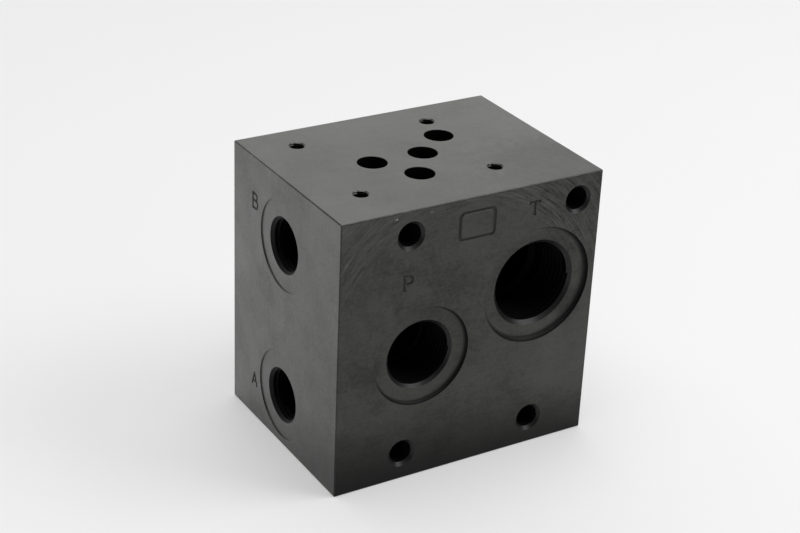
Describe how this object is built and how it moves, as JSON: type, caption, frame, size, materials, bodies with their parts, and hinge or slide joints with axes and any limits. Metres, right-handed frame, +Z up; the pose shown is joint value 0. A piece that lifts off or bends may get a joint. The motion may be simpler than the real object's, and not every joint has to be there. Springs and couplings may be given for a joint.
{
  "type": "hydraulic manifold block",
  "caption": "Machined iron block that carries a directional valve on its top face and links it, by drillings inside, to threaded pipe ports in its front and left faces.",
  "frame": {"origin": "centre of the base", "axes": "+Z up out of the valve face, -Y out of the front face with the pressure and tank ports, -X out of the face with the working ports"},
  "size_m": [0.105, 0.079, 0.105],
  "materials": {
    "block": "black phosphate over milled faces, satin"
  },
  "bodies": {
    "root": {"manifold_block": "block"}
  },
  "joints": []
}
